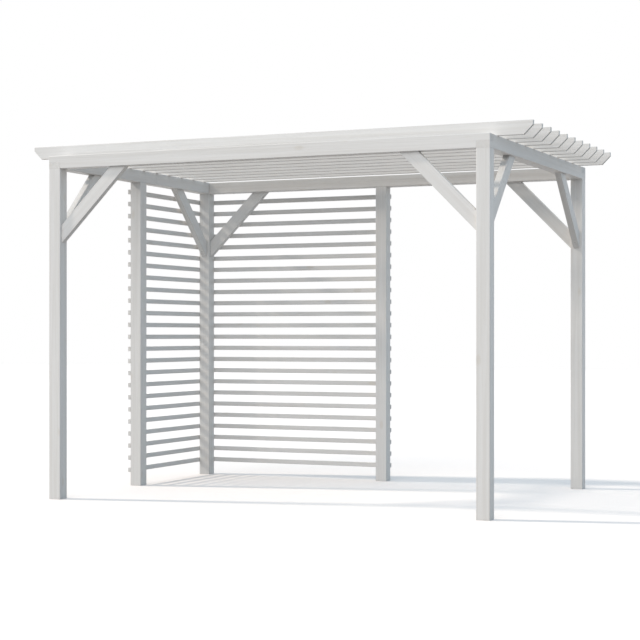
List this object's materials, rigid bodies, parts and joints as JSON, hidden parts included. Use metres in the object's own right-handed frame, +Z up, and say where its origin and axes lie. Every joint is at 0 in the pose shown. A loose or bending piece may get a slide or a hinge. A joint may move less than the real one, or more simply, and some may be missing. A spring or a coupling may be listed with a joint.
{
  "type": "pergola",
  "caption": "Free-standing open timber pergola: square posts and beams, corner braces, overhanging rafters with sloping ends, and level-slat screens at the back left corner.",
  "frame": {"origin": "centre of the overall box on the floor", "axes": "+X to the right along the front and the rafters, +Y from the front to the back, +Z up"},
  "size_m": [3.716, 2.342, 2.51],
  "materials": {
    "painted_timber": "white satin paint on planed softwood"
  },
  "bodies": {
    "root": {"front_left_post": "painted_timber", "front_right_post": "painted_timber", "back_right_post": "painted_timber", "back_left_post": "painted_timber", "left_middle_post": "painted_timber", "back_middle_post": "painted_timber", "front_beam": "painted_timber", "back_beam": "painted_timber", "left_beam": "painted_timber", "right_beam": "painted_timber", "rafter_01": "painted_timber", "rafter_02": "painted_timber", "rafter_03": "painted_timber", "rafter_04": "painted_timber", "rafter_05": "painted_timber", "rafter_06": "painted_timber", "rafter_07": "painted_timber", "rafter_08": "painted_timber", "rafter_09": "painted_timber", "rafter_10": "painted_timber", "rafter_11": "painted_timber", "front_left_brace_front": "painted_timber", "front_right_brace_front": "painted_timber", "back_left_brace_back": "painted_timber", "back_right_brace_back": "painted_timber", "front_left_brace_side": "painted_timber", "back_left_brace_side": "painted_timber", "front_right_brace_side": "painted_timber", "back_right_brace_side": "painted_timber", "side_slats": "painted_timber", "back_slats": "painted_timber"}
  },
  "joints": []
}
